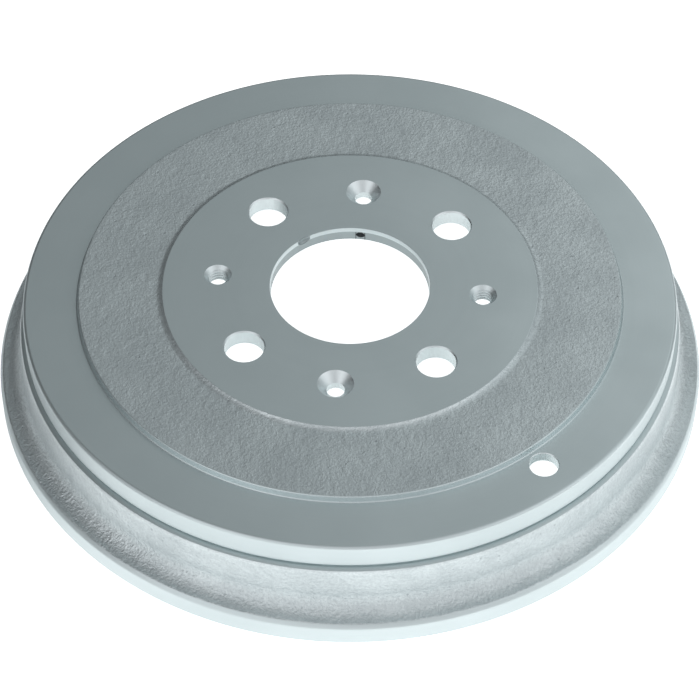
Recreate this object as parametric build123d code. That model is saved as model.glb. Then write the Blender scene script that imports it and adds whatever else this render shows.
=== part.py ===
from build123d import *
import os

# Brake drum: one casting of grey iron, turned and drilled.
#
# Frame: Z is the axis of rotation. The open edge stands on Z = 0 and the wheel face
# looks up. Radii are measured from Z, heights from the open edge, angles from +X.

# --- driving dimensions: heights and wall thicknesses ----------------------------
OVERALL_HEIGHT = 58.0         # open edge to wheel face
WHEEL_FACE_RAISE = 1.0        # wheel face above the as-cast annulus
ANNULUS_RAISE = 2.5           # as-cast annulus above the turned outer ring
HUB_THICKNESS = 6.0           # web between wheel face and hub seat
ANNULUS_THICKNESS = 6.5       # web under the as-cast annulus
RING_THICKNESS = 7.0          # web under the turned outer ring
SHOULDER_HEIGHT = 9.7         # turned shoulder below the outer ring
GROOVE_WIDTH = 1.5            # tool run-out groove below the shoulder
FLANGE_BEVEL_HEIGHT = 1.8     # bevel on the upper corner of the flange
FLANGE_WIDTH = 7.2            # cylindrical part of the flange
LIP_HEIGHT = 15.8             # turned lip that enters the rim of the backing plate

# --- driving dimensions: radii ---------------------------------------------------
PILOT_BORE_RADIUS = 29.25
HUB_SEAT_RADIUS = 66.0
WHEEL_FACE_RADIUS = 69.0
INNER_STEP_RADIUS = 97.5      # where the inside steps down towards the outer ring
ANNULUS_RADIUS = 99.5
RING_RADIUS = 119.3
SHOULDER_RADIUS = 120.4
GROOVE_RADIUS = 119.3
WALL_TOP_RADIUS = 122.2
WALL_FOOT_RADIUS = 122.5
COVE_RADIUS = 6.9
FLANGE_CORNER_RADIUS = 130.2
FLANGE_RADIUS = 131.4
LIP_RADIUS = 119.8
SHOE_RADIUS = 114.3           # braking surface of a 9 inch (228.6 mm) drum
RELIEF_RADIUS = 114.9         # grinding relief at its closed end
MOUTH_RADIUS = 115.8          # lead-in at the open edge

# --- driving dimensions: edges and slopes ----------------------------------------
PILOT_CHAMFER = 0.8
TURNED_CHAMFER = 0.5
WHEEL_FACE_STEP_RUN = 1.2     # how far the edge of the wheel face leans outwards
ANNULUS_STEP_RUN = 1.2        # how far the edge of the annulus leans outwards
HUB_STEP_RUN = 1.0
CAST_CHAMFER = 0.6
GROOVE_LIP_CHAMFER = 1.3
SHOE_SURFACE_TOP = 44.0
RELIEF_RAMP = 0.6
RELIEF_CORNER = 1.2           # broken corner between relief and web
MOUTH_HEIGHT = 2.4
FLANGE_ROOT_CHAMFER = 0.8

# --- driving dimensions: holes, all through the web and square to it --------------
BOLT_CIRCLE_RADIUS = 49.0
STUD_HOLE_RADIUS = 7.25
STUD_MOUTH_RADIUS = 7.7
STUD_ANGLES = [39.0, 129.0, 219.0, 309.0]
SCREW_HOLE_RADIUS = 3.3       # clearance for an M6 countersunk screw
SCREW_MOUTH_RADIUS = 6.6      # its 90 degree seat
SCREW_ANGLES = [84.0, 264.0]
JACK_TAP_RADIUS = 3.4         # tapping size of M8
JACK_MOUTH_RADIUS = 5.1
JACK_ANGLES = [174.0, 354.0]
ADJUSTER_CIRCLE_RADIUS = 107.2
ADJUSTER_HOLE_RADIUS = 5.2
ADJUSTER_MOUTH_RADIUS = 5.45
ADJUSTER_ANGLES = [309.0]     # in line with a stud hole

# --- derived heights -------------------------------------------------------------
wheel_face = OVERALL_HEIGHT
annulus = wheel_face - WHEEL_FACE_RAISE
ring = annulus - ANNULUS_RAISE
shoulder_foot = ring - SHOULDER_HEIGHT
groove_foot = shoulder_foot - GROOVE_WIDTH
flange_edge = LIP_HEIGHT + FLANGE_WIDTH
flange_top = flange_edge + FLANGE_BEVEL_HEIGHT
cove_top = flange_top + COVE_RADIUS
hub_seat = wheel_face - HUB_THICKNESS
annulus_inside = annulus - ANNULUS_THICKNESS
ring_inside = ring - RING_THICKNESS

# --- derived radii ---------------------------------------------------------------
annulus_foot = ANNULUS_RADIUS + ANNULUS_STEP_RUN
wheel_face_foot = WHEEL_FACE_RADIUS + WHEEL_FACE_STEP_RUN
cove_foot = WALL_FOOT_RADIUS + COVE_RADIUS
inner_step_foot = INNER_STEP_RADIUS + annulus_inside - ring_inside


def corners(face, *places):
    """The corners of a profile that lie at the given (radius, height) places."""
    return [face.vertices().sort_by_distance((r, z, 0))[0] for r, z in places]


def web_outline():
    """Top of the web, from the pilot bore out to the foot of the shoulder."""
    return Polyline(
        (PILOT_BORE_RADIUS, hub_seat),
        (PILOT_BORE_RADIUS, wheel_face),
        (WHEEL_FACE_RADIUS, wheel_face),
        (wheel_face_foot, annulus),
        (ANNULUS_RADIUS, annulus),
        (annulus_foot, ring),
        (RING_RADIUS, ring),
        (SHOULDER_RADIUS, ring - (SHOULDER_RADIUS - RING_RADIUS)),
        (SHOULDER_RADIUS, shoulder_foot),
    )


def wall_outline():
    """Outside of the wall: groove, as-cast wall, cove, flange and lip."""
    groove_and_wall = Polyline(
        (SHOULDER_RADIUS, shoulder_foot),
        (GROOVE_RADIUS, shoulder_foot),
        (GROOVE_RADIUS, groove_foot),
        (WALL_TOP_RADIUS, groove_foot),
        (WALL_FOOT_RADIUS, cove_top),
    )
    cove = CenterArc((cove_foot, cove_top), COVE_RADIUS, 180, 90)
    flange_and_lip = Polyline(
        (cove_foot, flange_top),
        (FLANGE_CORNER_RADIUS, flange_top),
        (FLANGE_RADIUS, flange_edge),
        (FLANGE_RADIUS, LIP_HEIGHT),
        (LIP_RADIUS, LIP_HEIGHT),
        (LIP_RADIUS, 0),
        (MOUTH_RADIUS, 0),
    )
    return [groove_and_wall, cove, flange_and_lip]


def inside_outline():
    """Inside: lead-in, braking surface, relief and the three levels of the web."""
    return Polyline(
        (MOUTH_RADIUS, 0),
        (SHOE_RADIUS, MOUTH_HEIGHT),
        (SHOE_RADIUS, SHOE_SURFACE_TOP),
        (RELIEF_RADIUS, SHOE_SURFACE_TOP + RELIEF_RAMP),
        (RELIEF_RADIUS, ring_inside),
        (inner_step_foot, ring_inside),
        (INNER_STEP_RADIUS, annulus_inside),
        (HUB_SEAT_RADIUS + HUB_STEP_RUN, annulus_inside),
        (HUB_SEAT_RADIUS, hub_seat),
        (PILOT_BORE_RADIUS, hub_seat),
    )


def half_section():
    """The section from the axis outwards, with its edges broken."""
    face = make_face([web_outline(), *wall_outline(), inside_outline()])
    face = chamfer(corners(face, (PILOT_BORE_RADIUS, wheel_face)), PILOT_CHAMFER)
    face = chamfer(corners(face, (WALL_TOP_RADIUS, groove_foot)), GROOVE_LIP_CHAMFER)
    turned = corners(
        face,
        (PILOT_BORE_RADIUS, hub_seat),
        (FLANGE_RADIUS, LIP_HEIGHT),
        (LIP_RADIUS, 0),
    )
    face = chamfer(turned, TURNED_CHAMFER)
    face = chamfer(corners(face, (ANNULUS_RADIUS, annulus)), CAST_CHAMFER)
    face = chamfer(corners(face, (LIP_RADIUS, LIP_HEIGHT)), FLANGE_ROOT_CHAMFER)
    return chamfer(corners(face, (RELIEF_RADIUS, ring_inside)), RELIEF_CORNER)


def drills(circle_radius, angles, hole_radius, mouth_radius, face_height):
    """Cutters for a set of holes: each a cylinder with a 90 degree cone at its mouth."""
    mouth_depth = mouth_radius - hole_radius
    hanging = (Align.CENTER, Align.CENTER, Align.MAX)
    shank = Cylinder(hole_radius, OVERALL_HEIGHT, align=hanging)
    mouth = Cone(hole_radius, mouth_radius, mouth_depth, align=hanging)
    cutter = shank + mouth
    return [Rot(Z=angle) * Pos(circle_radius, 0, face_height) * cutter for angle in angles]


def brake_drum():
    """The whole casting."""
    drum = revolve(Plane.XZ * half_section(), Axis.Z)
    drum -= drills(BOLT_CIRCLE_RADIUS, STUD_ANGLES, STUD_HOLE_RADIUS, STUD_MOUTH_RADIUS, wheel_face)
    drum -= drills(BOLT_CIRCLE_RADIUS, SCREW_ANGLES, SCREW_HOLE_RADIUS, SCREW_MOUTH_RADIUS, wheel_face)
    drum -= drills(BOLT_CIRCLE_RADIUS, JACK_ANGLES, JACK_TAP_RADIUS, JACK_MOUTH_RADIUS, wheel_face)
    drum -= drills(
        ADJUSTER_CIRCLE_RADIUS, ADJUSTER_ANGLES, ADJUSTER_HOLE_RADIUS, ADJUSTER_MOUTH_RADIUS, ring
    )
    return drum


os.makedirs("parts", exist_ok=True)
export_step(brake_drum(), "parts/brake_drum.step")
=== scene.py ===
"""Models a brake drum, gives it its iron finishes and sets it in a white studio.

The drum is one casting of grey iron. Its half section is drawn once, spun round the axis,
roughened where the sand mould left its skin, and then drilled and tapped. Z is the axis of
rotation, the open edge stands on Z = 0 and the wheel face looks up. Units are metres.
"""

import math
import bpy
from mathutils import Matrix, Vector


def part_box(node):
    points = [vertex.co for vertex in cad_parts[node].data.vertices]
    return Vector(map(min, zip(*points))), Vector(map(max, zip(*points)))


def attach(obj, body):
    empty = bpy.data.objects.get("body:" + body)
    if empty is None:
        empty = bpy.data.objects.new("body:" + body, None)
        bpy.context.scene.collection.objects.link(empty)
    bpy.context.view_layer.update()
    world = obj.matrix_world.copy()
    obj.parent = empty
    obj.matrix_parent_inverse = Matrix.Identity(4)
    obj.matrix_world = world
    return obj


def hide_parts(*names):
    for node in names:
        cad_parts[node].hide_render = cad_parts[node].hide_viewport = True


bl_info = {
    "name": "Brake Drum",
    "version": (1, 0, 0),
    "blender": (4, 5, 0),
    "location": "View3D > Sidebar > Brake Drum",
    "description": "Models a turned and drilled cast-iron brake drum in a white studio",
    "category": "Object",
}

import bpy
from bpy.props import FloatProperty, FloatVectorProperty, IntProperty, PointerProperty
from mathutils import Vector

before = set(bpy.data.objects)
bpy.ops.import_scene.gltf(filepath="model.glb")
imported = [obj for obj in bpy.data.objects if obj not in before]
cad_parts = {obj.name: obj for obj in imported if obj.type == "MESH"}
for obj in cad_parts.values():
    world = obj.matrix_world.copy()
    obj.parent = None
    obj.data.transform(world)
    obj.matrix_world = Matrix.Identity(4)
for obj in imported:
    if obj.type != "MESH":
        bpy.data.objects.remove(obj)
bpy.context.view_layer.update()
CAD_LOW, CAD_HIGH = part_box("brake_drum")

MM = 0.001
AXIS = (0.0, 0.0, 1.0)
ORIGIN = (0.0, 0.0, 0.0)


# --- settings that a user would change --------------------------------------------


def length(name, description, millimetres):
    """A size in metres, its default given in millimetres."""
    return FloatProperty(
        name=name, description=description, default=millimetres * MM, min=0.0, unit="LENGTH", precision=5,
    )


def colour(name, description, value):
    """A colour in linear light."""
    return FloatVectorProperty(
        name=name, description=description, default=value, size=3, min=0.0, max=1.0, subtype="COLOR"
    )


def share(name, description, value):
    """A number from 0 to 1."""
    return FloatProperty(
        name=name, description=description, default=value, min=0.0, max=1.0, subtype="FACTOR",
    )


class DrumWeb(bpy.types.PropertyGroup):
    """Sizes of the disc that the wheel is bolted to."""

    overall_height: FloatProperty(
        name="Overall height", description="From the open edge to the wheel face",
        default=CAD_HIGH.z - CAD_LOW.z, min=0.0, unit="LENGTH", precision=5,
    )
    wheel_face_raise: length("Wheel face raise", "Wheel face above the as-cast annulus", 1.0)
    annulus_raise: length("Annulus raise", "As-cast annulus above the turned outer ring", 2.5)
    hub_thickness: length("Hub thickness", "Web between wheel face and hub seat", 6.0)
    annulus_thickness: length("Annulus thickness", "Web under the as-cast annulus", 6.5)
    ring_thickness: length("Ring thickness", "Web under the turned outer ring", 7.0)
    pilot_bore: length("Pilot bore radius", "Centre hole that sits on the hub's spigot", 29.25)
    hub_seat: length("Hub seat radius", "Turned seat inside, against the hub flange", 66.0)
    wheel_face: length("Wheel face radius", "Turned face that the wheel sits on", 69.0)
    inner_step: length("Inner step radius", "Where the inside steps down to the outer ring", 97.5)
    annulus: length("Annulus radius", "Outer edge of the as-cast annulus", 99.5)
    wheel_face_step_run: length("Wheel face step run", "How far the wheel face's edge leans out", 1.2)
    annulus_step_run: length("Annulus step run", "How far the annulus's edge leans out", 1.2)
    hub_step_run: length("Hub step run", "How far the hub seat's edge leans out", 1.0)


class DrumWall(bpy.types.PropertyGroup):
    """Sizes of the wall, its flange and the inside that the shoes rub on."""

    shoulder_height: length("Shoulder height", "Turned shoulder below the outer ring", 9.7)
    groove_width: length("Groove width", "Tool run-out groove below the shoulder", 1.5)
    bevel_height: length("Flange bevel height", "Bevel on the upper corner of the flange", 1.8)
    flange_width: length("Flange width", "Cylindrical part of the flange", 7.2)
    lip_height: length("Lip height", "Turned lip that enters the backing plate's rim", 15.8)
    shoulder: length("Shoulder radius", "Turned shoulder", 120.4)
    groove: length("Groove radius", "Bottom of the run-out groove", 119.3)
    wall_top: length("Wall top radius", "As-cast wall just below the groove", 122.2)
    wall_foot: length("Wall foot radius", "As-cast wall where the cove begins", 122.5)
    cove: length("Cove radius", "Hollow between wall and flange", 6.9)
    flange_corner: length("Flange corner radius", "Where the flange's bevel begins", 130.2)
    flange: FloatProperty(
        name="Flange radius", description="Outside of the flange",
        default=CAD_HIGH.x, min=0.0, unit="LENGTH", precision=5,
    )
    lip: length("Lip radius", "Outside of the lip", 119.8)
    shoe_surface: length("Shoe surface radius", "Cylinder that the brake shoes rub on", 114.3)
    shoe_surface_top: length("Shoe surface top", "Height at which the ground surface ends", 44.0)
    relief: length("Relief radius", "Grinding relief at the closed end", 114.9)
    relief_ramp: length("Relief ramp", "Height over which the relief opens", 0.6)
    mouth: length("Mouth radius", "Lead-in at the open edge", 115.8)
    mouth_height: length("Mouth height", "Height of the lead-in", 2.4)


class DrumHoles(bpy.types.PropertyGroup):
    """Sizes of the holes through the web."""

    bolt_circle: length("Bolt circle radius", "Circle of the stud, screw and jacking holes", 49.0)
    stud: length("Stud hole radius", "Holes for the wheel bolts", 7.25)
    stud_mouth: length("Stud mouth radius", "Broken edge of a stud hole", 7.7)
    screw: length("Screw hole radius", "Clearance of a countersunk holding screw", 3.3)
    screw_mouth: length("Screw seat radius", "Outer edge of a screw's cone seat", 6.6)
    jack: length("Jacking hole radius", "Tapping size of a jacking screw", 3.4)
    jack_mouth: length("Jacking mouth radius", "Outer edge of a jacking hole's cone", 5.1)
    thread: length("Thread radius", "Outer radius of the jacking screw's thread", 4.0)
    thread_pitch: length("Thread pitch", "Distance between two turns of the thread", 1.25)
    adjuster_circle: length("Adjuster circle radius", "How far out the adjuster hole lies", 107.2)
    adjuster: length("Adjuster hole radius", "Hole to reach the shoe adjuster", 5.2)
    adjuster_mouth: length("Adjuster mouth radius", "Broken edge of the adjuster hole", 5.45)
    pocket: length("Pocket radius", "Shallow pocket behind the adjuster hole", 8.0)
    pocket_circle: length("Pocket circle radius", "How far out the pocket lies", 105.0)
    pocket_skin: length("Pocket skin", "Iron left between the ring face and the pocket", 3.9)


class DrumSurface(bpy.types.PropertyGroup):
    """Fineness of the mesh and depth of the cast skin."""

    steps: IntProperty(
        name="Steps round", description="Faces round the whole drum", default=540, min=90, max=1080
    )
    cast_cell: length("Cast cell", "Width of a face on the as-cast skin", 1.15)
    hidden_cell: length("Inside cell", "Width of a face on the as-cast inside", 2.2)
    peel_size: length("Peel size", "Width of the cast skin's small lumps", 1.7)
    peel_depth: length("Peel depth", "Height of the cast skin's small lumps", 0.52)
    swell_size: length("Swell size", "Width of the cast skin's slow swells", 14.0)
    swell_depth: length("Swell depth", "Height of the cast skin's slow swells", 0.1)


class DrumFinish(bpy.types.PropertyGroup):
    """Colours and gloss of the iron."""

    iron: colour("Iron", "Clean turned iron", (0.69, 0.77, 0.78))
    iron_shade: colour("Shaded iron", "Turned iron where it is a little duller", (0.63, 0.71, 0.72))
    skin: colour("Cast skin", "High spots of the as-cast skin", (0.76, 0.83, 0.84))
    # Cast skin pits is painted shade: the skin is coloured darker where its relief is low.
    skin_hollow_painted_shade: colour("Cast skin pits", "Hollows of the as-cast skin", (0.57, 0.63, 0.645))
    # Bore and hole walls are turned iron recoloured as painted reflection: darker on the bore wall and
    # lighter on the hole walls than the iron they are cut from.
    bore_painted_reflection: colour("Bored iron", "Wall of the pilot bore", (0.42, 0.47, 0.48))
    bore_low_painted_reflection: colour("Shaded bore", "Wall of the bore where it is a little duller", (0.36, 0.41, 0.42))
    hole_painted_reflection: colour("Drilled iron", "Walls of the holes", (0.82, 0.87, 0.88))
    # A chip's dark colour is partly that of freshly broken grey iron and partly painted shade in the chip's
    # pit.
    fracture_painted_shade: colour("Broken iron", "High spots of a fresh break", (0.20, 0.22, 0.23))
    fracture_pits_painted_shade: colour("Broken iron pits", "Hollows of a fresh break", (0.05, 0.06, 0.06))
    ground_iron: colour("Ground iron", "Surface that the shoes rub on", (0.66, 0.68, 0.68))
    turned_roughness: share("Turned roughness", "How dull turned iron is", 0.40)
    cast_roughness: share("Cast roughness", "How dull the as-cast skin is", 0.44)
    ground_roughness: share("Ground roughness", "How dull the ground surface is", 0.30)


class StudioSettings(bpy.types.PropertyGroup):
    """Floor, lamps and camera."""

    backdrop: colour("Backdrop", "Floor and surroundings as the camera sees them", (1.0, 1.0, 1.0))
    camera_distance: FloatProperty(
        name="Camera distance", description="From the centre of the wheel face",
        default=0.9929, min=0.1, unit="LENGTH",
    )
    camera_elevation: FloatProperty(
        name="Camera elevation", description="Angle above the horizon",
        default=math.radians(46.198), subtype="ANGLE",
    )
    camera_drop: FloatProperty(
        name="Camera drop", description="How far below the wheel face's centre the camera aims",
        default=math.radians(1.386), subtype="ANGLE",
    )
    lens: FloatProperty(name="Lens", description="Focal length on a 36 mm sensor", default=138.86, min=10.0)


# --- modelling tools ----------------------------------------------------------------

SAME_PLACE = 1e-7              # vertices nearer than this are one place
DOUBLES = 1e-6                 # vertices nearer than this are merged


def deselect_everything():
    """Leaves edit mode and selects nothing, because operators act on all that is selected."""
    if bpy.context.object and bpy.context.object.mode != "OBJECT":
        bpy.ops.object.mode_set(mode="OBJECT")
    bpy.ops.object.select_all(action="DESELECT")


def make_active(piece):
    """Selects this piece alone."""
    deselect_everything()
    piece.select_set(True)
    bpy.context.view_layer.objects.active = piece


def apply_modifier(piece, name, kind, **settings):
    """Adds a modifier with these settings and applies it."""
    make_active(piece)
    modifier = piece.modifiers.new(name, kind)
    for key, value in settings.items():
        setattr(modifier, key, value)
    bpy.ops.object.modifier_apply(modifier=modifier.name)


def select_vertices(piece, chosen):
    """Selects in edit mode the vertices whose place satisfies chosen."""
    bpy.ops.object.mode_set(mode="EDIT")
    bpy.ops.mesh.select_mode(type="VERT")
    bpy.ops.mesh.select_all(action="DESELECT")
    bpy.ops.object.mode_set(mode="OBJECT")
    for vertex in piece.data.vertices:
        vertex.select = chosen(vertex.co)
    bpy.ops.object.mode_set(mode="EDIT")


def draw_outline(name, places):
    """A closed line of edges through (radius, height) places, drawn from one vertex."""
    deselect_everything()
    bpy.ops.mesh.primitive_plane_add(size=MM)
    piece = bpy.context.object
    piece.name = piece.data.name = name
    points = [Vector((radius, 0.0, height)) for radius, height in places]
    bpy.ops.object.mode_set(mode="EDIT")
    bpy.ops.mesh.select_mode(type="VERT")
    bpy.ops.mesh.select_all(action="SELECT")
    bpy.ops.mesh.merge(type="CENTER")
    bpy.ops.transform.translate(value=points[0])
    for here, there in zip(points, points[1:]):
        bpy.ops.mesh.extrude_vertices_move(TRANSFORM_OT_translate={"value": there - here})
    ends = (points[0], points[-1])
    select_vertices(piece, lambda place: min((place - end).length for end in ends) < SAME_PLACE)
    bpy.ops.mesh.edge_face_add()
    bpy.ops.object.mode_set(mode="OBJECT")
    return piece


def break_corner(piece, radius, height, reach, facets):
    """Rounds the outline's corner at a place: reach is how far back along its edges it starts."""
    aim = Vector((radius, 0.0, height))
    corner = min(piece.data.vertices, key=lambda vertex: (vertex.co - aim).length).co.copy()
    select_vertices(piece, lambda place: (place - corner).length < SAME_PLACE)
    bpy.ops.mesh.bevel(offset=reach, offset_type="OFFSET", segments=facets, affect="VERTICES")
    bpy.ops.object.mode_set(mode="OBJECT")


def divide_stretch(piece, start, end, cell):
    """Divides the outline's edge between two corners into cells of about this width."""
    middle = Vector(((start[0] + end[0]) / 2, 0.0, (start[1] + end[1]) / 2))
    points = piece.data.vertices
    edge = min(
        piece.data.edges,
        key=lambda e: ((points[e.vertices[0]].co + points[e.vertices[1]].co) / 2 - middle).length,
    )
    ends = [points[i].co.copy() for i in edge.vertices]
    cuts = round((ends[0] - ends[1]).length / cell) - 1
    if cuts < 1:
        return
    select_vertices(piece, lambda place: min((place - end).length for end in ends) < SAME_PLACE)
    bpy.ops.mesh.subdivide(number_cuts=cuts)
    bpy.ops.object.mode_set(mode="OBJECT")


def spin_outline(piece, steps):
    """Spins the outline round Z into a closed solid whose faces point outwards."""
    make_active(piece)
    bpy.ops.object.mode_set(mode="EDIT")
    bpy.ops.mesh.select_all(action="SELECT")
    bpy.ops.mesh.spin(steps=steps, angle=2 * math.pi, center=ORIGIN, axis=AXIS, use_auto_merge=True)
    close_and_face_outwards()
    bpy.ops.object.mode_set(mode="OBJECT")


def close_and_face_outwards():
    """In edit mode: merges doubles, then turns every face outwards."""
    bpy.ops.mesh.select_all(action="SELECT")
    bpy.ops.mesh.remove_doubles(threshold=DOUBLES)
    bpy.ops.mesh.select_all(action="SELECT")
    bpy.ops.mesh.normals_make_consistent(inside=False)


def move_mesh(piece, place):
    """Moves the mesh and leaves the object at the origin."""
    make_active(piece)
    bpy.ops.object.mode_set(mode="EDIT")
    bpy.ops.mesh.select_all(action="SELECT")
    bpy.ops.transform.translate(value=place)
    bpy.ops.object.mode_set(mode="OBJECT")


def copies_at(model, places):
    """One copy of the model, with its own mesh, at each place; the model itself is used up."""
    copies = []
    for place in places:
        copy = model.copy()
        copy.data = model.data.copy()
        bpy.context.collection.objects.link(copy)
        move_mesh(copy, place)
        copies.append(copy)
    bpy.data.objects.remove(model, do_unlink=True)
    return copies


def cut_away(piece, cutters):
    """Takes the cutters, which don't touch each other, out of the piece."""
    deselect_everything()
    for cutter in cutters:
        cutter.select_set(True)
    bpy.context.view_layer.objects.active = cutters[0]
    if len(cutters) > 1:
        bpy.ops.object.join()
    tool = bpy.context.object
    apply_modifier(piece, "cut", "BOOLEAN", operation="DIFFERENCE", solver="EXACT", object=tool)
    bpy.data.objects.remove(tool, do_unlink=True)


def round_the_axis(radius, angles, height):
    """Places on a circle, angles in degrees from +X."""
    turns = [math.radians(angle) for angle in angles]
    return [Vector((radius * math.cos(turn), radius * math.sin(turn), height)) for turn in turns]


# --- the drum's section ---------------------------------------------------------------

PILOT_LEAD = 0.2 * MM          # steep lead at the mouth of the pilot bore: run and depth
PILOT_LEAD_DEPTH = 1.8 * MM
TURNED_CHAMFER = 0.5 * MM
SHARP_BREAK = 0.15 * MM        # a turned edge with only its burr taken off
CAST_BREAK = 0.8 * MM          # an edge that the mould leaves rounded
CAST_FILLET = 1.0 * MM         # hollow that the mould leaves in an inner corner
FOOT_FILLET = 0.4 * MM         # nose radius of the tool in an inner corner
STEP_ROUND = 0.4 * MM          # upper edge, foot and draft of the step outside the annulus
STEP_FILLET = 0.5 * MM
STEP_DRAFT = 0.25 * MM
SHOULDER_ROUND = 1.4 * MM
SHOULDER_FOOT_ROUND = 0.7 * MM
LEDGE_RISE = 0.7 * MM          # how much narrower the run-out groove is than its tool's room
GROOVE_LIP_CHAMFER = 1.4 * MM
WALL_LEAN = 0.6 * MM           # how far the mould's draft carries the wall out at its foot
KNEE_SHARE = 0.15              # share of that lean above the wall's soft knee
KNEE_DROP = 4.0 * MM           # depth of the knee below the groove, and how far it is rounded
KNEE_REACH = 2.5 * MM
COVE_FACETS = 10
FLANGE_ROOT_CHAMFER = 0.8 * MM
RELIEF_CORNER = 1.2 * MM


def heights(web, wall):
    """Heights above the open edge, worked out from the driving sizes."""
    wheel_face = web.overall_height
    annulus = wheel_face - web.wheel_face_raise
    ring = annulus - web.annulus_raise
    shoulder_foot = ring - wall.shoulder_height
    flange_edge = wall.lip_height + wall.flange_width
    return {
        "wheel_face": wheel_face,
        "annulus": annulus,
        "ring": ring,
        "shoulder_foot": shoulder_foot,
        "groove_foot": shoulder_foot - wall.groove_width,
        "flange_edge": flange_edge,
        "flange_top": flange_edge + wall.bevel_height,
        "hub_seat": wheel_face - web.hub_thickness,
        "annulus_inside": annulus - web.annulus_thickness,
        "ring_inside": ring - web.ring_thickness,
    }


def section_corners(web, wall, surface):
    """Corners of the half section, anticlockwise from the bore's lower edge.

    Each is (radius, height, how far the corner is broken back, facets across the break,
    width of the cells on the stretch to the next corner or None for one face).
    """
    z = heights(web, wall)
    wheel_face_foot = web.wheel_face + web.wheel_face_step_run
    annulus_step = web.annulus + web.annulus_step_run / 2
    knee = wall.wall_top + WALL_LEAN * KNEE_SHARE
    wall_foot = wall.wall_foot + WALL_LEAN
    cove = min(wall.cove, wall.flange_corner - wall_foot - TURNED_CHAMFER)
    inner_step_foot = web.inner_step + z["annulus_inside"] - z["ring_inside"]
    cast, inside = surface.cast_cell, surface.hidden_cell
    return [
        (web.pilot_bore, z["hub_seat"], TURNED_CHAMFER, 1, None),
        (web.pilot_bore, z["wheel_face"] - PILOT_LEAD_DEPTH, SHARP_BREAK, 2, None),
        (web.pilot_bore + PILOT_LEAD, z["wheel_face"], SHARP_BREAK, 2, None),
        (web.wheel_face, z["wheel_face"], SHARP_BREAK, 2, None),
        (wheel_face_foot, z["annulus"], CAST_FILLET, 4, cast),
        (annulus_step - STEP_DRAFT, z["annulus"], STEP_ROUND, 4, None),
        (annulus_step + STEP_DRAFT, z["ring"], STEP_FILLET, 4, None),
        (wall.shoulder, z["ring"], SHOULDER_ROUND, 6, None),
        (wall.shoulder, z["shoulder_foot"], SHOULDER_FOOT_ROUND, 3, None),
        (wall.groove, z["shoulder_foot"], SHARP_BREAK, 2, None),
        (wall.groove, z["groove_foot"] + LEDGE_RISE, SHARP_BREAK, 2, None),
        (wall.wall_top, z["groove_foot"] + LEDGE_RISE, GROOVE_LIP_CHAMFER, 2, cast),
        (knee, z["groove_foot"] - KNEE_DROP, KNEE_REACH, 4, cast),
        (wall_foot, z["flange_top"], cove, COVE_FACETS, cast),
        (wall.flange_corner, z["flange_top"], TURNED_CHAMFER, 2, None),
        (wall.flange, z["flange_edge"], TURNED_CHAMFER, 2, None),
        (wall.flange, wall.lip_height, TURNED_CHAMFER, 2, None),
        (wall.lip, wall.lip_height, FLANGE_ROOT_CHAMFER, 3, None),
        (wall.lip, 0.0, TURNED_CHAMFER, 2, None),
        (wall.mouth, 0.0, SHARP_BREAK, 2, None),
        (wall.shoe_surface, wall.mouth_height, SHARP_BREAK, 2, None),
        (wall.shoe_surface, wall.shoe_surface_top, 0.0, 0, None),
        (wall.relief, wall.shoe_surface_top + wall.relief_ramp, 0.0, 0, None),
        (wall.relief, z["ring_inside"], RELIEF_CORNER, 3, inside),
        (inner_step_foot, z["ring_inside"], CAST_BREAK, 2, inside),
        (web.inner_step, z["annulus_inside"], CAST_BREAK, 2, inside),
        (web.hub_seat + web.hub_step_run, z["annulus_inside"], FOOT_FILLET, 2, None),
        (web.hub_seat, z["hub_seat"], SHARP_BREAK, 2, None),
    ]


SKIN_FADE = 0.8 * MM           # the tool leaves the cast skin over this width
FLAT_MARGIN = 0.4 * MM         # how far the skin's lumps may rise from a flat stretch
WALL_MARGIN = 2.0 * MM         # and how deep a zone reaches into the iron
FLAT_SKIN_SHARE = 0.6          # height of the web's skin against the wall's
COVE_SKIN_SHARE = 0.8          # share of the cove's height that has the coarser skin
ON_SURFACE = 0.05 * MM         # a face this near to a turned cylinder lies on it
LEVEL_FACE = 0.5               # rise of the normal, from 0 to 1, from which a cast face counts as level
BORE_FACE, HOLE_FACE = 0.7, 0.9    # and below which a face is a wall of the bore or of a hole


def cast_zones(web, wall):
    """Where the skin of the mould is left: (lowest, highest) radius and height of each zone,
    and whether its faces look up or down, or outwards."""
    z = heights(web, wall)
    annulus = (
        web.wheel_face, web.annulus,
        z["annulus"] - WALL_MARGIN, z["annulus"] + FLAT_MARGIN + SKIN_FADE, True,
    )
    wall_and_cove = (
        wall.wall_top - WALL_MARGIN, wall.flange_corner,
        z["flange_top"] - WALL_MARGIN, z["groove_foot"], False,
    )
    inside = (
        web.hub_seat, wall.relief, z["ring_inside"] - WALL_MARGIN, z["hub_seat"] - FLAT_MARGIN, True,
    )
    return [annulus, wall_and_cove, inside]


def skin_share(zones, place, normal=None):
    """How much of the cast skin is left at a place, from 0 on turned iron to 1."""
    radius, height = math.hypot(place.x, place.y), place.z
    share_left = 0.0
    for r_low, r_high, z_low, z_high, level in zones:
        if normal is not None and level and abs(normal.z) < LEVEL_FACE:
            continue
        depth = min(radius - r_low, r_high - radius, height - z_low, z_high - height)
        share_left = max(share_left, min(1.0, depth / SKIN_FADE))
    return share_left


def is_drilled(face, web, holes):
    """Whether a face is the wall of a hole drilled through the web."""
    radius = math.hypot(face.center.x, face.center.y)
    adjuster = round_the_axis(holes.adjuster_circle, (ADJUSTER_ANGLE,), face.center.z)[0]
    beside_bore = web.pilot_bore + PILOT_LEAD / 4 < radius < web.hub_seat
    in_adjuster = (face.center - adjuster).length < holes.adjuster_mouth
    return abs(face.normal.z) < HOLE_FACE and (beside_bore or in_adjuster)


# --- pieces ---------------------------------------------------------------------------

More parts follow.
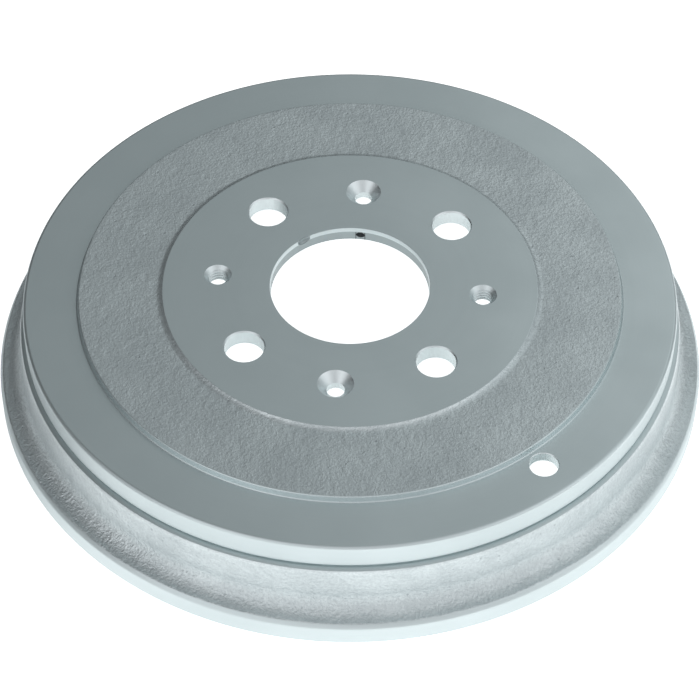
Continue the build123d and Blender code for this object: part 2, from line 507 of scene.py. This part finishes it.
STUD_ANGLES = (39, 129, 219, 309)
SCREW_ANGLES = (84, 264)
JACK_ANGLES = (174, 354)
ADJUSTER_ANGLE = 309
DRILL_STEPS = 72
DRILL_RISE = 1.0 * MM          # a cutter starts this far above the face it enters
THREAD_STEPS = 32
THREAD_TURNS = 9
THREAD_OVERLAP = 0.08 * MM     # how far the tap's wedge reaches inside the drilled hole
THREAD_ROOT, THREAD_CREST = 0.46, 0.07     # half widths of the wedge, in pitches
# The bore's finish and the holes' finish are turned iron with painted reflection, darker in the bore and
# lighter in the holes.
TURNED, CAST, GROUND, BORE_PAINTED_REFLECTION, HOLE_PAINTED_REFLECTION, BROKEN_PAINTED_SHADE, COVE = range(7)    # the drum's finishes, in order
# The first chip takes the bore's painted-reflection finish. The second takes the dark broken finish, which
# is partly painted shade.
NICKS = (                      # chips at the bore's mouth: angle, length, height, depth, drop, finish
    (126.0, 5.4 * MM, 3.2 * MM, 1.0 * MM, 1.0 * MM, BORE_PAINTED_REFLECTION),
    (82.3, 3.4 * MM, 2.7 * MM, 2.2 * MM, 3.2 * MM, BROKEN_PAINTED_SHADE),
)
CHIP_INNER_SHARE = 0.7         # the cutter's flat facets lie this deep within its rounded form
SMOOTH_UP_TO = 35              # degrees between two faces that are shaded as one


def drill(name, hole, mouth, depth):
    """A cutter whose 90 degree mouth lies at Z = 0 and whose shank goes down."""
    rise = mouth + DRILL_RISE
    outline = [(0.0, -depth), (hole, -depth), (hole, hole - mouth), (rise, DRILL_RISE), (0.0, DRILL_RISE)]
    cutter = draw_outline(name, outline)
    spin_outline(cutter, DRILL_STEPS)
    return cutter


def pocket(radius, depth):
    """A cutter for a flat-ended pocket whose end lies at Z = 0."""
    cutter = draw_outline("pocket", [(0.0, -depth), (radius, -depth), (radius, 0.0), (0.0, 0.0)])
    spin_outline(cutter, DRILL_STEPS)
    return cutter


def tap(radius, pitch, tapping_radius):
    """A cutter for the thread: a wedge that winds down through the web."""
    root, crest = tapping_radius - THREAD_OVERLAP, radius
    half_root, half_crest = pitch * THREAD_ROOT, pitch * THREAD_CREST
    outline = [(root, -half_root), (crest, -half_crest), (crest, half_crest), (root, half_root)]
    cutter = draw_outline("tap", outline)
    apply_modifier(
        cutter, "thread", "SCREW", axis="Z", angle=2 * math.pi, screw_offset=-pitch,
        iterations=THREAD_TURNS, steps=THREAD_STEPS, render_steps=THREAD_STEPS,
    )
    make_active(cutter)
    bpy.ops.object.mode_set(mode="EDIT")
    bpy.ops.mesh.select_all(action="SELECT")
    bpy.ops.mesh.fill_holes(sides=len(outline))
    close_and_face_outwards()
    bpy.ops.object.mode_set(mode="OBJECT")
    return cutter


def chip(nick, bore, face_height):
    """A cutter for a small chip in the bore's edge."""
    angle, long, high, deep, drop, _ = nick
    turn = math.radians(angle)
    deselect_everything()
    bpy.ops.mesh.primitive_ico_sphere_add(subdivisions=2, radius=0.5)
    cutter = bpy.context.object
    bpy.ops.object.mode_set(mode="EDIT")
    bpy.ops.mesh.select_all(action="SELECT")
    bpy.ops.transform.resize(value=(2 * deep, long, high), center_override=ORIGIN)
    bpy.ops.transform.rotate(value=-turn, orient_axis="Z", center_override=ORIGIN)
    bpy.ops.object.mode_set(mode="OBJECT")
    move_mesh(cutter, (bore * math.cos(turn), bore * math.sin(turn), face_height - drop))
    return cutter


def on_chip(place, nick, web):
    """Whether a point lies on the surface that a chip's cutter left."""
    angle, long, high, deep, drop, _ = nick
    turn = math.radians(angle)
    outward = place.x * math.cos(turn) + place.y * math.sin(turn) - web.pilot_bore
    across = place.y * math.cos(turn) - place.x * math.sin(turn)
    upward = place.z - (web.overall_height - drop)
    share = (outward / deep) ** 2 + (2 * across / long) ** 2 + (2 * upward / high) ** 2
    return CHIP_INNER_SHARE < share < 1.0


def chips_finish(place, web):
    """The finish of the chip whose surface this place lies on, or None."""
    for nick in NICKS:
        if on_chip(place, nick, web):
            return nick[-1]
    return None


def finish_of(face, zones, web, wall, holes):
    """Which of the drum's finishes a face has, by its place."""
    radius = math.hypot(face.center.x, face.center.y)
    below_face = web.overall_height - face.center.z
    if skin_share(zones, face.center, face.normal) > 0:
        cove_top = heights(web, wall)["flange_top"] + wall.cove * COVE_SKIN_SHARE
        return COVE if radius > wall.groove and face.center.z < cove_top else CAST
    on_shoe_cylinder = abs(radius - wall.shoe_surface) < ON_SURFACE
    if on_shoe_cylinder and wall.mouth_height < face.center.z < wall.shoe_surface_top:
        return GROUND
    chipped = chips_finish(face.center, web)
    if chipped is not None:
        return chipped
    # The bore wall below the lead gets the darkened painted-reflection iron, and hole walls get the
    # lightened one.
    beside_bore = abs(radius - web.pilot_bore) < PILOT_LEAD
    if beside_bore and below_face > PILOT_LEAD_DEPTH and abs(face.normal.z) < BORE_FACE:
        return BORE_PAINTED_REFLECTION
    return HOLE_PAINTED_REFLECTION if is_drilled(face, web, holes) else TURNED


class BRAKEDRUM_OT_casting(bpy.types.Operator):
    """Model the drum: spin its section, roughen the cast skin, drill and tap the web"""

    bl_idname = "brakedrum.casting"
    bl_label = "Drum"
    bl_options = {"REGISTER", "UNDO"}

    def execute(self, context):
        web, wall = context.scene.drum_web, context.scene.drum_wall
        holes, surface = context.scene.drum_holes, context.scene.drum_surface
        drum = self.turn(web, wall, surface)
        zones = cast_zones(web, wall)
        self.roughen(drum, zones, surface, wall.groove)
        self.drill_web(drum, web, wall, holes)
        self.finish(drum, zones, context.scene)
        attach(drum, "root")
        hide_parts("brake_drum")
        return {"FINISHED"}

    def turn(self, web, wall, surface):
        """The blank: outline, broken corners, divided stretches, spun round."""
        corners = section_corners(web, wall, surface)
        drum = draw_outline("drum", [(radius, height) for radius, height, *_ in corners])
        for radius, height, reach, facets, _ in corners:
            if facets:
                break_corner(drum, radius, height, reach, facets)
        for here, there in zip(corners, corners[1:] + corners[:1]):
            if here[4]:
                divide_stretch(drum, here[:2], there[:2], here[4])
        spin_outline(drum, surface.steps)
        return drum

    def roughen(self, drum, zones, surface, web_edge):
        """Raises the lumps and swells of the cast skin, and leaves the turned faces smooth."""
        skin = drum.vertex_groups.new(name="cast_skin")
        for vertex in drum.data.vertices:
            weight = skin_share(zones, vertex.co)
            if math.hypot(vertex.co.x, vertex.co.y) < web_edge:
                weight *= FLAT_SKIN_SHARE
            if weight > 0:
                skin.add([vertex.index], weight, "REPLACE")
        reliefs = (
            ("swell", surface.swell_size, surface.swell_depth),
            ("peel", surface.peel_size, surface.peel_depth),
        )
        for name, width, depth in reliefs:
            lumps = bpy.data.textures.new(name, "CLOUDS")
            lumps.noise_scale = width
            lumps.noise_depth = 1
            apply_modifier(
                drum, name, "DISPLACE", texture=lumps, texture_coords="LOCAL", direction="NORMAL",
                vertex_group=skin.name, mid_level=0.5, strength=depth,
            )

    def drill_web(self, drum, web, wall, holes):
        """Chips the bore's edge and cuts the pocket, then drills all holes and taps two of them."""
        face, deep = web.overall_height, web.overall_height / 2
        ring = heights(web, wall)["ring"]
        sets = (
            ("stud", holes.stud, holes.stud_mouth, holes.bolt_circle, STUD_ANGLES, face),
            ("screw", holes.screw, holes.screw_mouth, holes.bolt_circle, SCREW_ANGLES, face),
            ("jack", holes.jack, holes.jack_mouth, holes.bolt_circle, JACK_ANGLES, face),
            (
                "adjuster", holes.adjuster, holes.adjuster_mouth,
                holes.adjuster_circle, (ADJUSTER_ANGLE,), ring,
            ),
        )
        cutters = []
        for name, hole, mouth, circle, angles, height in sets:
            cutters += copies_at(drill(name, hole, mouth, deep), round_the_axis(circle, angles, height))
        for nick in NICKS:
            cut_away(drum, [chip(nick, web.pilot_bore, face)])
        cut_away(drum, copies_at(
            pocket(holes.pocket, deep),
            round_the_axis(holes.pocket_circle, (ADJUSTER_ANGLE,), ring - holes.pocket_skin),
        ))
        cut_away(drum, cutters)
        taps = copies_at(
            tap(holes.thread, holes.thread_pitch, holes.jack),
            round_the_axis(holes.bolt_circle, JACK_ANGLES, face + holes.thread_pitch),
        )
        cut_away(drum, taps)

    def finish(self, drum, zones, scene):
        """Gives each face its finish and smooths the rounded edges."""
        look = scene.drum_finish
        finishes = {
            TURNED: turned_iron("turned_iron", look.iron_shade, look.iron, look.turned_roughness),
            CAST: cast_skin("cast_skin", SKIN_BUMP, look),
            GROUND: ground_iron(look),
            # Painted reflection: turned iron made darker on the bore wall and lighter on the hole walls.
            BORE_PAINTED_REFLECTION: turned_iron("bore_wall_painted_reflection", look.bore_low_painted_reflection, look.bore_painted_reflection, look.turned_roughness),
            HOLE_PAINTED_REFLECTION: turned_iron("hole_painted_reflection", look.iron, look.hole_painted_reflection, look.turned_roughness),
            # The broken finish is dark partly as a fresh break is and partly as painted shade in the pit.
            BROKEN_PAINTED_SHADE: fracture_painted_shade(look),
            COVE: cast_skin("cove_skin", COVE_BUMP, look),
        }
        for slot in sorted(finishes):
            drum.data.materials.append(finishes[slot])
        for face in drum.data.polygons:
            face.material_index = finish_of(face, zones, scene.drum_web, scene.drum_wall, scene.drum_holes)
        make_active(drum)
        bpy.ops.object.shade_smooth_by_angle(angle=math.radians(SMOOTH_UP_TO))
        apply_modifier(drum, "flat_faces", "WEIGHTED_NORMAL", mode="FACE_AREA", weight=50, keep_sharp=True)
        if not len(drum.data.polygons):
            raise RuntimeError("the drum has no faces left")


# --- finishes -------------------------------------------------------------------------


def new_group(name, inputs, outputs):
    """A shader node group with these sockets: (name, kind, default) in, (name, kind) out."""
    group = bpy.data.node_groups.new(name, "ShaderNodeTree")
    for label, kind, default in inputs:
        socket = group.interface.new_socket(label, in_out="INPUT", socket_type=kind)
        if default is not None:
            socket.default_value = default
    for label, kind in outputs:
        group.interface.new_socket(label, in_out="OUTPUT", socket_type=kind)
    return group


def add(tree, kind, settings=None, **inputs):
    """A node with these settings; each input is a value or another node's socket."""
    node = tree.nodes.new(kind)
    for key, value in (settings or {}).items():
        setattr(node, key, value)
    for label, value in inputs.items():
        feed(tree, node.inputs[label.replace("_", " ")], value)
    return node


def feed(tree, socket, value):
    """Links a socket to an input, or sets the input to a plain value."""
    if isinstance(value, bpy.types.NodeSocket):
        tree.links.new(value, socket)
    else:
        socket.default_value = value


def maths(tree, operation, *values):
    """The result of one Math node."""
    node = tree.nodes.new("ShaderNodeMath")
    node.operation = operation
    for socket, value in zip(node.inputs, values):
        feed(tree, socket, value)
    return node.outputs["Value"]


def mix_colour(tree, factor, first, second):
    """A colour between two, by a factor that changes over the surface."""
    node = tree.nodes.new("ShaderNodeMix")
    node.data_type = "RGBA"
    feed(tree, node.inputs["Factor"], factor)
    colours = [socket for socket in node.inputs if socket.type == "RGBA"]
    feed(tree, colours[0], first)
    feed(tree, colours[1], second)
    return next(socket for socket in node.outputs if socket.type == "RGBA")


def span(tree, value, low, high):
    """Spreads a 0 to 1 value over low to high."""
    return add(tree, "ShaderNodeMapRange", None, Value=value, To_Min=low, To_Max=high).outputs["Result"]


def scaled(tree, vector, size):
    """The vector divided by a size, so that 1 is one lump of that size."""
    node = tree.nodes.new("ShaderNodeVectorMath")
    node.operation = "SCALE"
    feed(tree, node.inputs["Vector"], vector)
    feed(tree, node.inputs["Scale"], maths(tree, "DIVIDE", 1.0, size))
    return node.outputs["Vector"]


def blend(tree, first, second, first_share):
    """Two values added, the first with this share and the second with the rest."""
    return maths(
        tree, "ADD", maths(tree, "MULTIPLY", first, first_share),
        maths(tree, "MULTIPLY", second, 1.0 - first_share),
    )


LUMPS_IN_HEIGHT, LUMPS_IN_TONE = 0.65, 0.6     # shares of lumps against sand
PIT_RIM, PIT_FLOOR = 0.09, 0.03                # radii of a pit, in pit sizes
PIT_DEPTH = 0.35


def cast_grain_group():
    """Skin of a sand mould: round lumps, fine sand grain and a few small pits. Its Tone follows the Height
    and is darkest in the pits: painted shade in the hollows.
    """
    name = "cast_grain"
    if name in bpy.data.node_groups:
        return bpy.data.node_groups[name]
    group = new_group(
        name,
        [("Vector", "NodeSocketVector", None), ("Lump Size", "NodeSocketFloat", 0.0014),
         ("Sand Size", "NodeSocketFloat", 0.0005), ("Pit Size", "NodeSocketFloat", 0.006)],
        [("Height", "NodeSocketFloat"), ("Tone", "NodeSocketFloat")],
    )
    start, end = group.nodes.new("NodeGroupInput"), group.nodes.new("NodeGroupOutput")
    place = start.outputs["Vector"]
    lumps = add(
        group, "ShaderNodeTexNoise", {"noise_dimensions": "3D"},
        Vector=scaled(group, place, start.outputs["Lump Size"]), Scale=1.0, Detail=2.0, Roughness=0.5,
    ).outputs["Fac"]
    sand = add(
        group, "ShaderNodeTexNoise", {"noise_dimensions": "3D"},
        Vector=scaled(group, place, start.outputs["Sand Size"]), Scale=1.0, Detail=1.0, Roughness=0.6,
    ).outputs["Fac"]
    pits = add(
        group, "ShaderNodeTexVoronoi", {"feature": "F1"},
        Vector=scaled(group, place, start.outputs["Pit Size"]), Scale=1.0,
    ).outputs["Distance"]
    pit_floor = add(group, "ShaderNodeMapRange", None, Value=pits, From_Min=PIT_FLOOR, From_Max=PIT_RIM)
    pit_floor = pit_floor.outputs["Result"]
    hollow = maths(group, "MULTIPLY", maths(group, "SUBTRACT", 1.0, pit_floor), PIT_DEPTH)
    height = maths(group, "SUBTRACT", blend(group, lumps, sand, LUMPS_IN_HEIGHT), hollow)
    # Painted shade: the tone falls with the height and goes dark in the pits.
    tone = maths(group, "MULTIPLY", blend(group, lumps, sand, LUMPS_IN_TONE), pit_floor)
    group.links.new(height, end.inputs["Height"])
    group.links.new(tone, end.inputs["Tone"])
    return group


BROAD_MARK = 14.0              # width of a broad band of turning marks, in pitches


def turning_marks_group():
    """Marks of a lathe tool: they follow the radius on a face and the height on a wall."""
    name = "turning_marks"
    if name in bpy.data.node_groups:
        return bpy.data.node_groups[name]
    group = new_group(
        name,
        [("Vector", "NodeSocketVector", None), ("Pitch", "NodeSocketFloat", 0.00025)],
        [("Height", "NodeSocketFloat"), ("Tone", "NodeSocketFloat")],
    )
    start, end = group.nodes.new("NodeGroupInput"), group.nodes.new("NodeGroupOutput")
    parts = add(group, "ShaderNodeSeparateXYZ", None, Vector=start.outputs["Vector"])
    x, y, z = (parts.outputs[axis] for axis in "XYZ")
    squares = maths(group, "ADD", maths(group, "MULTIPLY", x, x), maths(group, "MULTIPLY", y, y))
    radius = maths(group, "SQRT", squares)
    section = add(group, "ShaderNodeCombineXYZ", None, X=radius, Y=z).outputs["Vector"]
    fine = add(
        group, "ShaderNodeTexNoise", {"noise_dimensions": "2D"},
        Vector=scaled(group, section, start.outputs["Pitch"]), Scale=1.0, Detail=2.0, Roughness=0.6,
    ).outputs["Fac"]
    broad = add(
        group, "ShaderNodeTexNoise", {"noise_dimensions": "2D"},
        Vector=scaled(group, section, maths(group, "MULTIPLY", start.outputs["Pitch"], BROAD_MARK)),
        Scale=1.0, Detail=1.0,
    ).outputs["Fac"]
    group.links.new(fine, end.inputs["Height"])
    group.links.new(blend(group, fine, broad, 0.5), end.inputs["Tone"])
    return group


def stain_group():
    """Large soft clouds, as handling and a thin oil film leave on bare iron."""
    name = "oil_clouds"
    if name in bpy.data.node_groups:
        return bpy.data.node_groups[name]
    group = new_group(
        name,
        [("Vector", "NodeSocketVector", None), ("Size", "NodeSocketFloat", 0.04)],
        [("Mask", "NodeSocketFloat")],
    )
    start, end = group.nodes.new("NodeGroupInput"), group.nodes.new("NodeGroupOutput")
    clouds = add(
        group, "ShaderNodeTexNoise", {"noise_dimensions": "3D"},
        Vector=scaled(group, start.outputs["Vector"], start.outputs["Size"]), Scale=1.0, Detail=3.0,
    ).outputs["Fac"]
    mask = add(
        group, "ShaderNodeMapRange", {"interpolation_type": "SMOOTHSTEP"},
        Value=clouds, From_Min=0.3, From_Max=0.7,
    )
    group.links.new(mask.outputs["Result"], end.inputs["Mask"])
    return group


def place_group(tree, group, **inputs):
    """A group's node in a material, with its own values."""
    node = tree.nodes.new("ShaderNodeGroup")
    node.node_tree = group
    for label, value in inputs.items():
        feed(tree, node.inputs[label.replace("_", " ")], value)
    return node


def opaque(rgb):
    """The colour with an alpha of 1."""
    return (rgb[0], rgb[1], rgb[2], 1.0)


def iron_shader(material, metallic, height, height_depth, roughness, base):
    """Fills a material: its Principled shader with colour, roughness and bump."""
    tree = material.node_tree
    shader = tree.nodes["Principled BSDF"]
    shader.inputs["Metallic"].default_value = metallic
    bump = add(tree, "ShaderNodeBump", None, Height=height, Strength=1.0, Distance=height_depth)
    feed(tree, shader.inputs["Base Color"], base)
    feed(tree, shader.inputs["Roughness"], roughness)
    feed(tree, shader.inputs["Normal"], bump.outputs["Normal"])


def new_material(name):
    """A node material with its Object coordinates."""
    material = bpy.data.materials.new(name)
    material.use_nodes = True
    places = material.node_tree.nodes.new("ShaderNodeTexCoord").outputs["Object"]
    return material, material.node_tree, places


TURNED_PITCH, GROUND_PITCH = 0.3 * MM, 0.15 * MM      # width of one tool or stone mark
TURNED_MARK, GROUND_MARK = 0.004 * MM, 0.003 * MM     # and its depth
LUMP_SIZE, SAND_SIZE, PIT_SIZE = 1.1 * MM, 0.6 * MM, 6.0 * MM
SKIN_BUMP, COVE_BUMP = 0.26 * MM, 0.5 * MM            # height of the skin's finest grain
BREAK_SIZE, BREAK_BUMP = 0.4 * MM, 0.05 * MM          # crystals of a fresh break
TURNED_METAL, CAST_METAL, GROUND_METAL, BREAK_METAL = 0.85, 0.8, 0.95, 0.6
GLOSS_SWING = 0.04             # how much the clean spots of a turned face are glossier
# The skin's colour runs from the painted shade of its hollows to its high spots.
SKIN_CONTRAST = (0.25, 0.7)    # tones between which the skin goes from hollow to high spot


def turned_iron(name, shade, light, dullness):
    """Faces cut by the lathe or a drill: satin, with fine rings and soft clouds."""
    material, tree, places = new_material(name)
    marks = place_group(tree, turning_marks_group(), Vector=places, Pitch=TURNED_PITCH)
    clouds = place_group(tree, stain_group(), Vector=places, Size=0.035).outputs["Mask"]
    tone = blend(tree, marks.outputs["Tone"], clouds, 0.5)
    base = mix_colour(tree, tone, opaque(shade), opaque(light))
    roughness = span(tree, tone, dullness + GLOSS_SWING, dullness - GLOSS_SWING)
    iron_shader(material, TURNED_METAL, marks.outputs["Height"], TURNED_MARK, roughness, base)
    return material


def cast_skin(name, bump, look):
    """The skin that the sand mould left: dull lumps, with hollows darkened as painted shade."""
    material, tree, places = new_material(name)
    grain = place_group(
        tree, cast_grain_group(), Vector=places, Lump_Size=LUMP_SIZE, Sand_Size=SAND_SIZE, Pit_Size=PIT_SIZE,
    )
    clouds = place_group(tree, stain_group(), Vector=places, Size=0.025).outputs["Mask"]
    tone = blend(tree, grain.outputs["Tone"], clouds, 0.8)
    low, high = SKIN_CONTRAST
    contrast = add(tree, "ShaderNodeMapRange", None, Value=tone, From_Min=low, From_Max=high)
    contrast = contrast.outputs["Result"]
    base = mix_colour(tree, contrast, opaque(look.skin_hollow_painted_shade), opaque(look.skin))
    roughness = span(tree, contrast, look.cast_roughness + 0.08, look.cast_roughness - 0.06)
    iron_shader(material, CAST_METAL, grain.outputs["Height"], bump, roughness, base)
    return material


def fracture_painted_shade(look):
    """A fresh break in grey iron: dark and granular. Its dark colour is partly the break's own and partly
    painted shade in the chip's pit.
    """
    material, tree, places = new_material("fracture_painted_shade")
    grain = place_group(
        tree, cast_grain_group(),
        Vector=places, Lump_Size=BREAK_SIZE, Sand_Size=BREAK_SIZE / 2, Pit_Size=PIT_SIZE,
    )
    base = mix_colour(tree, grain.outputs["Tone"], opaque(look.fracture_pits_painted_shade), opaque(look.fracture_painted_shade))
    roughness = span(tree, grain.outputs["Tone"], 0.7, 0.5)
    iron_shader(material, BREAK_METAL, grain.outputs["Height"], BREAK_BUMP, roughness, base)
    return material


def ground_iron(look):
    """The surface that the shoes rub on: fine rings, brighter and smoother."""
    material, tree, places = new_material("ground_iron")
    marks = place_group(tree, turning_marks_group(), Vector=places, Pitch=GROUND_PITCH)
    clouds = place_group(tree, stain_group(), Vector=places, Size=0.05).outputs["Mask"]
    tone = blend(tree, marks.outputs["Tone"], clouds, 0.7)
    base = mix_colour(tree, tone, opaque(look.iron_shade), opaque(look.ground_iron))
    dullness = look.ground_roughness
    roughness = span(tree, tone, dullness + GLOSS_SWING, dullness - GLOSS_SWING)
    iron_shader(material, GROUND_METAL, marks.outputs["Height"], GROUND_MARK, roughness, base)
    return material


# --- studio ---------------------------------------------------------------------------

FLOOR_SIZE = 8.0
FLOOR_COLOUR = (0.9, 0.9, 0.9, 1.0)
FLOOR_WHITE = 0.9              # light that the floor adds where the camera sees it
FLOOR_GLOW = 0.83              # light that it adds in reflections
FLOOR_GLOW_BEHIND = 0.17       # and in reflections of its part behind and to the left
BEHIND_DIRECTION = (-0.8, 0.6)                 # where that part lies, along X and Y
BEHIND_FROM, BEHIND_TO = 0.03, 0.12            # distances over which the floor dims
SKY_BEHIND, SKY_AHEAD = (0.93, 1.0, 1.02, 1.0), (1.0, 1.0, 1.02, 1.0)     # tints of the sky
SKY_TURN = 0.3                 # the tint changes over this much of Y to either side
SKY_GLOWS = (                  # turn from the X axis and height in degrees, tightness, level
    (225, 5, 8, 0.54),
    (270, 5, 8, 0.64),
    (315, 5, 8, 0.19),
    (350, 20, 8, 0.65),
    (225, 40, 8, 1.12),
    (315, 40, 8, 0.75),
    (0, 40, 8, 0.41),
    (60, 45, 8, 0.62),
    (120, 45, 8, 0.07),
    (270, 80, 8, 0.25),
)
SOFT_BOXES = (                 # name, place, aim, width, height, power in watts
    ("back_box", (0.288, 0.464, 0.5), (0.02, 0, 0.05), 0.4, 0.4, 0.125),
)


def white_floor(backdrop):
    """White to the camera and in reflections, and still darker where the object shades it."""
    material = bpy.data.materials.new("white_floor")
    material.use_nodes = True
    tree = material.node_tree
    tree.nodes.clear()
    rays = tree.nodes.new("ShaderNodeLightPath")
    mirrored = maths(tree, "MAXIMUM", rays.outputs["Is Glossy Ray"], rays.outputs["Is Transmission Ray"])
    places = tree.nodes.new("ShaderNodeTexCoord").outputs["Object"]
    place = add(tree, "ShaderNodeSeparateXYZ", None, Vector=places)
    behind = maths(
        tree, "ADD", maths(tree, "MULTIPLY", place.outputs["X"], BEHIND_DIRECTION[0]),
        maths(tree, "MULTIPLY", place.outputs["Y"], BEHIND_DIRECTION[1]),
    )
    in_mirror = add(
        tree, "ShaderNodeMapRange", {"interpolation_type": "SMOOTHSTEP"}, Value=behind,
        From_Min=BEHIND_FROM, From_Max=BEHIND_TO, To_Min=FLOOR_GLOW, To_Max=FLOOR_GLOW_BEHIND,
    ).outputs["Result"]
    seen = maths(tree, "MULTIPLY", rays.outputs["Is Camera Ray"], FLOOR_WHITE)
    seen = maths(tree, "ADD", seen, maths(tree, "MULTIPLY", mirrored, in_mirror))
    shaded = add(tree, "ShaderNodeBsdfDiffuse", None, Color=FLOOR_COLOUR).outputs["BSDF"]
    glow = add(tree, "ShaderNodeEmission", None, Color=opaque(backdrop), Strength=seen).outputs["Emission"]
    mix = tree.nodes.new("ShaderNodeAddShader")
    tree.links.new(shaded, mix.inputs[0])
    tree.links.new(glow, mix.inputs[1])
    output = tree.nodes.new("ShaderNodeOutputMaterial")
    tree.links.new(mix.outputs["Shader"], output.inputs["Surface"])
    return material


def sky_direction(turn, height):
    """The direction at this turn from the X axis and this height above the floor."""
    return Vector((math.cos(height) * math.cos(turn), math.cos(height) * math.sin(turn), math.sin(height)))


def studio_world(backdrop):
    """A studio of soft glows on all sides, white where the camera sees it."""
    world = bpy.data.worlds.new("studio")
    world.use_nodes = True
    tree = world.node_tree
    tree.nodes.clear()
    rays = tree.nodes.new("ShaderNodeLightPath")
    direction = tree.nodes.new("ShaderNodeTexCoord").outputs["Generated"]
    parts = add(tree, "ShaderNodeSeparateXYZ", None, Vector=direction)
    level = 0.0
    for turn, height, tightness, strength in SKY_GLOWS:
        facing = add(tree, "ShaderNodeVectorMath", {"operation": "DOT_PRODUCT"})
        feed(tree, facing.inputs[0], direction)
        feed(tree, facing.inputs[1], sky_direction(math.radians(turn), math.radians(height)))
        glow = maths(tree, "POWER", maths(tree, "MAXIMUM", facing.outputs["Value"], 0.0), tightness)
        level = maths(tree, "ADD", level, maths(tree, "MULTIPLY", glow, strength))
    ahead = add(
        tree, "ShaderNodeMapRange", {"interpolation_type": "SMOOTHSTEP"},
        Value=parts.outputs["Y"], From_Min=SKY_TURN, From_Max=-SKY_TURN, To_Min=0.0, To_Max=1.0,
    ).outputs["Result"]
    tint = mix_colour(tree, ahead, SKY_BEHIND, SKY_AHEAD)
    studio = add(tree, "ShaderNodeBackground", None, Color=tint, Strength=level).outputs["Background"]
    white = add(tree, "ShaderNodeBackground", None, Color=opaque(backdrop), Strength=1.0)
    white = white.outputs["Background"]
    mix = add(tree, "ShaderNodeMixShader", None, Fac=rays.outputs["Is Camera Ray"])
    tree.links.new(studio, mix.inputs[1])
    tree.links.new(white, mix.inputs[2])
    output = tree.nodes.new("ShaderNodeOutputWorld")
    tree.links.new(mix.outputs["Shader"], output.inputs["Surface"])
    return world


def soft_box(name, place, aim, width, height, power):
    """A rectangular lamp that looks at its aim."""
    lamp = bpy.data.lights.new(name, "AREA")
    lamp.shape = "RECTANGLE"
    lamp.size, lamp.size_y = width, height
    lamp.energy = power
    box = bpy.data.objects.new(name, lamp)
    bpy.context.collection.objects.link(box)
    box.location = place
    box.rotation_euler = (Vector(aim) - Vector(place)).to_track_quat("-Z", "Y").to_euler()
    return box


class BRAKEDRUM_OT_studio(bpy.types.Operator):
    """Set up the floor, the lamps and the camera"""

    bl_idname = "brakedrum.studio"
    bl_label = "Studio"
    bl_options = {"REGISTER", "UNDO"}

    def execute(self, context):
        studio, web = context.scene.drum_studio, context.scene.drum_web
        deselect_everything()
        bpy.ops.mesh.primitive_plane_add(size=FLOOR_SIZE, location=ORIGIN)
        floor = context.object
        floor.name = "floor"
        floor.data.materials.append(white_floor(studio.backdrop))
        context.scene.world = studio_world(studio.backdrop)
        for box in SOFT_BOXES:
            soft_box(*box)
        self.place_camera(context, studio, web.overall_height)
        context.scene.view_settings.view_transform = "Standard"
        return {"FINISHED"}

    def place_camera(self, context, studio, face_height):
        """Looks down on the wheel face, a little below its centre."""
        lens = bpy.data.cameras.new("camera")
        lens.lens = studio.lens
        lens.sensor_width = 36.0
        camera = bpy.data.objects.new("camera", lens)
        context.collection.objects.link(camera)
        back = studio.camera_distance * math.cos(studio.camera_elevation)
        up = studio.camera_distance * math.sin(studio.camera_elevation)
        camera.location = (0.0, -back, face_height + up)
        camera.rotation_euler = (math.pi / 2 - studio.camera_elevation - studio.camera_drop, 0.0, 0.0)
        lens.clip_start, lens.clip_end = 0.01, 50.0
        context.scene.camera = camera


# --- sidebar and registration ---------------------------------------------------------


class BRAKEDRUM_PT_panel(bpy.types.Panel):
    """Lists the drum's steps and sizes"""

    bl_label = "Brake Drum"
    bl_idname = "BRAKEDRUM_PT_panel"
    bl_space_type = "VIEW_3D"
    bl_region_type = "UI"
    bl_category = "Brake Drum"

    def draw(self, context):
        layout = self.layout
        for operator in (BRAKEDRUM_OT_casting, BRAKEDRUM_OT_studio):
            layout.operator(operator.bl_idname)
        for name, group in SETTINGS.items():
            box = layout.box()
            box.label(text=name.replace("_", " ").capitalize())
            for key in group.__annotations__:
                box.prop(getattr(context.scene, name), key)


SETTINGS = {
    "drum_web": DrumWeb,
    "drum_wall": DrumWall,
    "drum_holes": DrumHoles,
    "drum_surface": DrumSurface,
    "drum_finish": DrumFinish,
    "drum_studio": StudioSettings,
}
CLASSES = (*SETTINGS.values(), BRAKEDRUM_OT_casting, BRAKEDRUM_OT_studio, BRAKEDRUM_PT_panel)


def register():
    """Registers the classes and hangs their settings on the scene."""
    for item in CLASSES:
        bpy.utils.register_class(item)
    for name, group in SETTINGS.items():
        setattr(bpy.types.Scene, name, PointerProperty(type=group))


def unregister():
    """Takes everything away again."""
    for name in SETTINGS:
        delattr(bpy.types.Scene, name)
    for item in reversed(CLASSES):
        bpy.utils.unregister_class(item)


def main():
    """Builds the drum and its studio."""
    register()
    bpy.ops.brakedrum.casting()
    bpy.ops.brakedrum.studio()


if __name__ == "__main__":
    main()
